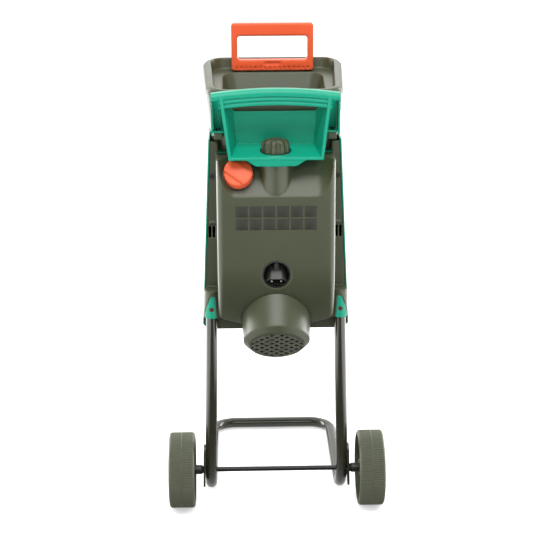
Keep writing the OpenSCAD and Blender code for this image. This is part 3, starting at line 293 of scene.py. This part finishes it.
def wheelProfile(radius, half, side):  # half section, out along X and up along Z
    look = wheelLook
    inner = radius - look["rim"]
    tread = radius - look["ribDrop"]
    lip = look["edge"]
    line = look["line"]
    web = look["web"] / 2
    hubOut = look["hubLong"] - look["hubIn"]
    turn = [math.pi / 2 * i / look["edgeSteps"] for i in range(look["edgeSteps"] + 1)]
    near = [(-half + lip - lip * math.cos(a), tread - lip + lip * math.sin(a)) for a in turn]
    far = [(-x, z) for x, z in reversed(near)]
    crest = [(-line, tread), (-line / 2, radius), (line / 2, radius), (line, tread)]
    inside = [(-look["hubIn"], look["bore"]), (-look["hubIn"], look["hub"]), (-web, look["hub"]),
              (-web, inner), (-half, inner)]
    outside = [(half, inner), (web, inner), (web, look["hub"]), (hubOut, look["hub"]), (hubOut, look["bore"])]
    return [(side * x, 0, z) for x, z in inside + near + crest + far + outside]


def spinProfile(bm, profile, steps):
    points = [bm.verts.new(p) for p in profile]
    loop = [bm.edges.new(pair) for pair in zip(points, points[1:] + points[:1])]
    bmesh.ops.spin(bm, geom=points + loop, cent=(0, 0, 0), axis=(1, 0, 0), angle=2 * math.pi, steps=steps,
                   use_merge=True)


def pressRibs(bm, radius, steps):  # grooves across the tread, clear of the line round its middle
    look = wheelLook
    treadFrom = radius - look["ribDrop"] * look["treadMargin"]
    lineTo = look["line"] * look["lineMargin"]
    half = look["ribSteps"] // 2
    for vert in bm.verts:
        reach = math.hypot(vert.co.y, vert.co.z)
        if reach > treadFrom and abs(vert.co.x) > lineTo:
            step = round(math.atan2(vert.co.z, vert.co.y) / (2 * math.pi) * steps)
            shift = half if vert.co.x > 0 else 0  # the two rows of ribs are staggered
            if (step + shift) % look["ribSteps"] < half:
                scale = 1 - look["ribDepth"] / reach
                vert.co.y *= scale
                vert.co.z *= scale


def addSpokes(bm, radius):
    look = wheelLook
    inner = look["hub"] - look["spokeSink"]
    outer = radius - look["rim"] + look["spokeSink"]
    place = Matrix.Translation((0, 0, (inner + outer) / 2))
    size = Matrix.Diagonal((look["spokeWide"], look["spokeThick"], outer - inner, 1))
    for i in range(look["spokes"]):
        turn = Matrix.Rotation(2 * math.pi * i / look["spokes"], 4, "X")
        bmesh.ops.create_cube(bm, size=1, matrix=turn @ place @ size)


def makeWheel(node, side):
    low, high = (Vector(v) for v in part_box(node))
    radius = (high.z - low.z) / 2
    half = (high.x - low.x) / 2
    steps = wheelLook["ribs"] * wheelLook["ribSteps"]
    bm = bmesh.new()
    spinProfile(bm, wheelProfile(radius, half, side), steps)
    pressRibs(bm, radius, steps)
    addSpokes(bm, radius)
    bmesh.ops.translate(bm, verts=bm.verts[:], vec=(low + high) / 2)
    finishPiece(node + "_tyre", bm, "wheelPlastic", node, [node], wheelLook["sharpAngle"])


makeWheel("left_wheel", -1)
makeWheel("right_wheel", 1)
print("wheels made")

# blank tiles on the panel, standing slightly proud; their dark tone is partly their own and partly painted
# recess shade

tileLook = {"columns": 6, "rows": 2, "across": 0.0272, "up": 0.0256, "wide": 0.0244, "high": 0.0228,
            "thick": 0.0012, "proud": 0.0004, "middle": 0.648, "panelBack": 0.080, "bevel": 0.0003}


def makeTiles():
    look = tileLook
    axle = (Vector(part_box("axle")[0]) + Vector(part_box("axle")[1])) / 2
    back = axle.y - look["panelBack"] - look["proud"] + look["thick"] / 2
    size = Matrix.Diagonal((look["wide"], look["thick"], look["high"], 1))
    bm = bmesh.new()
    for row in range(look["rows"]):
        up = look["middle"] + (row - (look["rows"] - 1) / 2) * look["up"]
        for column in range(look["columns"]):
            across = (column - (look["columns"] - 1) / 2) * look["across"]
            bmesh.ops.create_cube(bm, size=1, matrix=Matrix.Translation((across, back, up)) @ size)
    softenEdges(bm, look["bevel"])
    finishPiece("panel_tiles", bm, "panelTileWithPaintedShade", "base", [])


makeTiles()
print("tiles made")

# plates that close the gap between the tray and the hood's wings

plateLook = {"foot": 0.8138, "head": 0.875, "footIn": 0.097, "headIn": 0.1085, "wing": 0.0035, "gap": 0.0003,
             "thick": 0.003, "bevel": 0.0004}


def makeWingPlates():
    look = plateLook
    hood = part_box("handle_hood")[1]
    out = hood[0] - look["wing"] - look["gap"]
    back = hood[1] - look["gap"]
    corners = [(look["footIn"], look["foot"]), (out, look["foot"]), (out, look["head"]),
               (look["headIn"], look["head"])]
    bm = bmesh.new()
    for side in (-1, 1):
        face = bm.faces.new([bm.verts.new((side * x, back, z)) for x, z in corners])
        grown = bmesh.ops.extrude_face_region(bm, geom=[face])["geom"]
        moved = [part for part in grown if isinstance(part, bmesh.types.BMVert)]
        bmesh.ops.translate(bm, verts=moved, vec=(0, -look["thick"], 0))
    softenEdges(bm, look["bevel"])
    finishPiece("wing_plates", bm, "greenPlastic", "hopper_unit", [])


makeWingPlates()
print("wing plates made")

# camera

cameraLook = {"lens": 93.1, "sensor": 36, "reach": 50, "place": (-0.0718, -2.9812, 1.313), "turn": 1.5,
              "pitch": 16.0, "roll": 0.25}


def makeCamera():
    look = cameraLook
    turn, pitch, roll = (math.radians(look[key]) for key in ("turn", "pitch", "roll"))
    ahead = Vector((math.cos(pitch) * math.sin(turn), math.cos(pitch) * math.cos(turn), -math.sin(pitch)))
    across = ahead.cross(Vector((0, 0, 1))).normalized()
    up = across.cross(ahead)
    right = across * math.cos(roll) - up * math.sin(roll)
    top = across * math.sin(roll) + up * math.cos(roll)
    data = bpy.data.cameras.new("camera")
    data.lens = look["lens"]
    data.sensor_width = look["sensor"]
    data.clip_end = look["reach"]
    camera = bpy.data.objects.new("camera", data)
    facing = Matrix((right, top, -ahead)).transposed().to_4x4()
    camera.matrix_world = Matrix.Translation(look["place"]) @ facing
    scene.collection.objects.link(camera)
    scene.camera = camera


# soft lights

softboxes = [
    {"name": "leftBox", "at": (-1.9, 0.9, 1.0), "to": (0, -0.1, 0.6), "size": (0.9, 2.2), "power": 62},
    {"name": "rightBox", "at": (1.9, 0.9, 1.0), "to": (0, -0.1, 0.6), "size": (0.9, 2.2), "power": 55},
    {"name": "frontBox", "at": (0, -3.4, 2.2), "to": (0, 0, 0.6), "size": (2.4, 1.0), "power": 38},
    {"name": "highBox", "at": (0, -1.95, 3.5), "to": (0, -0.1, 0.6), "size": (2.4, 1.4), "power": 84},
    {"name": "topBox", "at": (0, -0.4, 2.9), "to": (0, 0, 0.5), "size": (2.4, 1.6), "power": 14},
    {"name": "backBox", "at": (0, 2.3, 2.2), "to": (0, 0, 0.9), "size": (2.4, 1.3), "power": 14},
]


def makeSoftbox(box):
    data = bpy.data.lights.new(box["name"], "AREA")
    data.shape = "RECTANGLE"
    data.size, data.size_y = box["size"]
    data.energy = box["power"]
    lamp = bpy.data.objects.new(box["name"], data)
    aim = Vector(box["to"]) - Vector(box["at"])
    lamp.matrix_world = Matrix.Translation(box["at"]) @ aim.to_track_quat("-Z", "Y").to_matrix().to_4x4()
    scene.collection.objects.link(lamp)


# surroundings, white to the camera and darker in front of the machine than behind it

worldLook = {"light": 0.5, "mirror": 1.5, "span": (-0.9, 0.1), "levels": (0.13, 1.0)}


def makeWorld():
    look = worldLook
    world = bpy.data.worlds.new("studio")
    scene.world = world
    world.use_nodes = True
    tree = Tree(world.node_tree)
    level = tree.rise(tree.along(tree.place("Generated"), "Y"), look["span"], look["levels"])
    shown = tree.ray("Is Camera Ray").larger(tree.ray("Is Transmission Ray"))
    lit = level * (look["light"] + tree.ray("Is Glossy Ray") * (look["mirror"] - look["light"]))
    strength = shown + (1 - shown) * lit
    light = tree.add("Background", {}, {"Color": white, "Strength": strength})
    tree.add("OutputWorld", {}, {"Surface": light})


# pale floor, brighter in reflections at the back and the sides

floorLook = {"half": 14, "drop": 0.0002, "tone": (0.76, 0.76, 0.76, 1.0), "speck": (0.72, 0.72, 0.72, 1.0),
             "speckScale": 3.0, "speckShare": 0.3, "glowSpan": (0.6, 2.0), "glowLevels": (0.5, 0.9),
             "backSpan": (-0.5, 0.3), "backLevels": (0.14, 1.2),
             "sideSpan": (0.35, 0.9), "sideLevels": (0.0, 4.0)}


def floorFinish():
    look = floorLook
    material, tree = newFinish("paleFloor")
    where = tree.place()
    speck = tree.noise(where, look["speckScale"])
    tone = tree.blend(speck * look["speckShare"], look["tone"], look["speck"])
    matt = tree.add("BsdfDiffuse", {}, {"Color": tone})
    away = tree.add("VectorMath", {"operation": "LENGTH"}, {0: where}, "Value")
    lift = tree.rise(away, look["glowSpan"], look["glowLevels"])
    seen = tree.add("AddShader", {}, {0: matt, 1: tree.glow(tree.ray("Is Camera Ray") * lift)})
    behind = tree.rise(tree.along(where, "Y"), look["backSpan"], look["backLevels"])
    beside = tree.rise(tree.along(where, "X").unsigned(), look["sideSpan"], look["sideLevels"])
    mirrored = tree.glow(behind + beside)
    surface = tree.add("MixShader", {}, {0: tree.ray("Is Glossy Ray"), 1: seen, 2: mirrored})
    tree.add("OutputMaterial", {}, {"Surface": surface})
    return material


def makeFloor():
    bm = bmesh.new()
    bmesh.ops.create_grid(bm, x_segments=1, y_segments=1, size=floorLook["half"])
    mesh = bpy.data.meshes.new("floor")
    bm.to_mesh(mesh)
    bm.free()
    mesh.materials.append(floorFinish())
    floor = bpy.data.objects.new("floor", mesh)
    floor.location.z = -floorLook["drop"]
    scene.collection.objects.link(floor)


makeCamera()
for box in softboxes:
    makeSoftbox(box)
makeWorld()
makeFloor()
print("studio ready")
